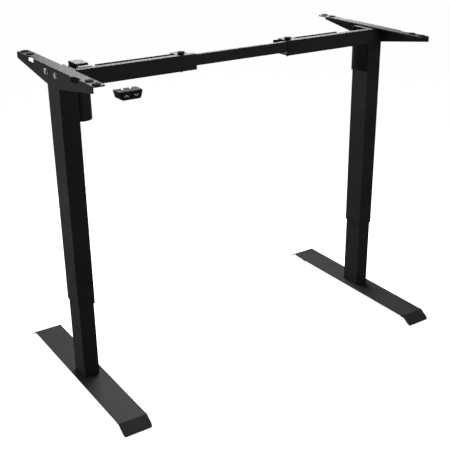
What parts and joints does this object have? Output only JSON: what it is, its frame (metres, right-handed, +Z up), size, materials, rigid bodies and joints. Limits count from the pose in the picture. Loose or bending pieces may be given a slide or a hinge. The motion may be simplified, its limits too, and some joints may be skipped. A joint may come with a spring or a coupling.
{
  "type": "height adjustable desk frame",
  "caption": "Black steel desk frame with telescopic columns on flat feet, an adjustable crossbar with a motor and drive shaft, tabletop brackets and a small handset.",
  "frame": {"origin": "on the floor, midway between the two columns, on their common centre plane", "axes": "+X to the right along the crossbar, +Y to the back, +Z up; the user sits on the -Y side"},
  "size_m": [1.028, 0.612, 0.853],
  "materials": {
    "black_steel": "fine matte powder coat",
    "zinc_steel": "zinc plated",
    "black_oxide": "black oxide screws",
    "bright_steel": "drawn, oiled",
    "black_rubber": "matte",
    "black_plastic": "fine grain",
    "nylon": "natural",
    "brass": "machined",
    "cast_metal": "die cast, black",
    "motor_black": "satin black",
    "green_board": "solder mask",
    "button_grey": "fine grain"
  },
  "bodies": {
    "left_base": {"left_foot": "black_steel", "left_foot_bolts": "zinc_steel", "left_inner_tube": "black_steel", "left_lift_nut": "brass", "left_inner_guide": "nylon"},
    "left_frame": {"left_lower_bush": "black_plastic", "left_outer_tube": "black_steel", "left_column_head": "black_steel", "left_bracket": "black_steel", "left_bracket_bolts": "zinc_steel", "left_pads": "black_rubber", "left_gear_case": "cast_metal", "left_screw_bearing": "bright_steel", "left_channel": "black_steel", "left_slide_strip": "nylon", "left_frame_screws": "black_oxide", "motor_case": "motor_black", "motor_end_cap": "black_plastic", "gearbox_housing": "black_plastic", "gearbox_cover": "black_plastic", "gearbox_screws": "zinc_steel", "handset_case": "black_plastic", "handset_cover": "black_plastic", "handset_screws": "zinc_steel", "handset_board": "green_board"},
    "left_screw": {"left_lead_screw": "bright_steel", "left_screw_bevel": "bright_steel"},
    "drive_tube": {"drive_tube": "bright_steel", "worm_wheel": "nylon", "left_shaft_bevel": "bright_steel"},
    "drive_rod": {"drive_rod": "bright_steel", "right_shaft_bevel": "bright_steel"},
    "motor_rotor": {"motor_rotor": "bright_steel"},
    "center_bar": {"center_bar": "black_steel"},
    "right_frame": {"right_lower_bush": "black_plastic", "right_outer_tube": "black_steel", "right_column_head": "black_steel", "right_bracket": "black_steel", "right_bracket_bolts": "zinc_steel", "right_pads": "black_rubber", "right_gear_case": "cast_metal", "right_screw_bearing": "bright_steel", "right_channel": "black_steel", "right_slide_strip": "nylon", "right_frame_screws": "black_oxide"},
    "right_screw": {"right_lead_screw": "bright_steel", "right_screw_bevel": "bright_steel"},
    "right_base": {"right_foot": "black_steel", "right_foot_bolts": "zinc_steel", "right_inner_tube": "black_steel", "right_lift_nut": "brass", "right_inner_guide": "nylon"},
    "left_knob": {"left_clamp_knob": "black_plastic"},
    "right_knob": {"right_clamp_knob": "black_plastic"},
    "left_front_glide": {"left_front_glide": "black_rubber"},
    "left_rear_glide": {"left_rear_glide": "black_rubber"},
    "right_front_glide": {"right_front_glide": "black_rubber"},
    "right_rear_glide": {"right_rear_glide": "black_rubber"},
    "up_button": {"up_button": "button_grey"},
    "down_button": {"down_button": "button_grey"}
  },
  "joints": [
    {"name": "lift", "type": "slide", "parent": "left_base", "child": "left_frame", "axis": [0, 0, 1], "range_m": [-0.13, 0.315]},
    {"name": "left_width", "type": "slide", "parent": "left_frame", "child": "center_bar", "axis": [1, 0, 0], "range_m": [-0.06, 0.11]},
    {"name": "right_width", "type": "slide", "parent": "center_bar", "child": "right_frame", "axis": [1, 0, 0], "range_m": [-0.04, 0.11]},
    {"name": "right_lift", "type": "slide", "parent": "right_frame", "child": "right_base", "axis": [0, 0, 1], "range_m": [-0.315, 0.13]},
    {"name": "left_screw_turn", "type": "hinge", "parent": "left_frame", "child": "left_screw", "pos_m": [-0.475, 0, 0.5], "axis": [0, 0, 1], "range_deg": [-3000, 7200]},
    {"name": "right_screw_turn", "type": "hinge", "parent": "right_frame", "child": "right_screw", "pos_m": [0.475, 0, 0.5], "axis": [0, 0, 1], "range_deg": [-7200, 3000]},
    {"name": "drive_tube_turn", "type": "hinge", "parent": "left_frame", "child": "drive_tube", "pos_m": [-0.2, 0, 0.827], "axis": [1, 0, 0], "range_deg": [-3000, 7200]},
    {"name": "drive_rod_turn", "type": "hinge", "parent": "right_frame", "child": "drive_rod", "pos_m": [0.2, 0, 0.827], "axis": [1, 0, 0], "range_deg": [-3000, 7200]},
    {"name": "motor_turn", "type": "hinge", "parent": "left_frame", "child": "motor_rotor", "pos_m": [-0.4225, 0.029, 0.78], "axis": [0, 0, 1], "range_deg": [-72000, 172800]},
    {"name": "left_knob_turn", "type": "hinge", "parent": "left_frame", "child": "left_knob", "pos_m": [-0.166, -0.023, 0.85], "axis": [0, 0, 1], "range_deg": [0, 720]},
    {"name": "right_knob_turn", "type": "hinge", "parent": "right_frame", "child": "right_knob", "pos_m": [0.166, -0.023, 0.85], "axis": [0, 0, 1], "range_deg": [0, 720]},
    {"name": "up_press", "type": "slide", "parent": "left_frame", "child": "up_button", "axis": [0, 1, 0], "range_m": [0, 0.0008], "stiffness_N_per_m": 1500, "springref_m": -0.0004},
    {"name": "down_press", "type": "slide", "parent": "left_frame", "child": "down_button", "axis": [0, 1, 0], "range_m": [0, 0.0008], "stiffness_N_per_m": 1500, "springref_m": -0.0004},
    {"name": "left_front_glide_turn", "type": "hinge", "parent": "left_base", "child": "left_front_glide", "pos_m": [-0.475, -0.24, 0.01], "axis": [0, 0, 1], "continuous": true},
    {"name": "left_rear_glide_turn", "type": "hinge", "parent": "left_base", "child": "left_rear_glide", "pos_m": [-0.475, 0.25, 0.01], "axis": [0, 0, 1], "continuous": true},
    {"name": "right_front_glide_turn", "type": "hinge", "parent": "right_base", "child": "right_front_glide", "pos_m": [0.475, -0.24, 0.01], "axis": [0, 0, 1], "continuous": true},
    {"name": "right_rear_glide_turn", "type": "hinge", "parent": "right_base", "child": "right_rear_glide", "pos_m": [0.475, 0.25, 0.01], "axis": [0, 0, 1], "continuous": true}
  ],
  "couplings": [
    {"joint": "right_lift", "follows": "lift", "ratio": -1},
    {"joint": "left_screw_turn", "follows": "lift", "rad_per_m": 392.7},
    {"joint": "right_screw_turn", "follows": "lift", "rad_per_m": -392.7},
    {"joint": "drive_tube_turn", "follows": "lift", "rad_per_m": 392.7},
    {"joint": "drive_rod_turn", "follows": "lift", "rad_per_m": 392.7},
    {"joint": "motor_turn", "follows": "lift", "rad_per_m": 9424.8}
  ]
}
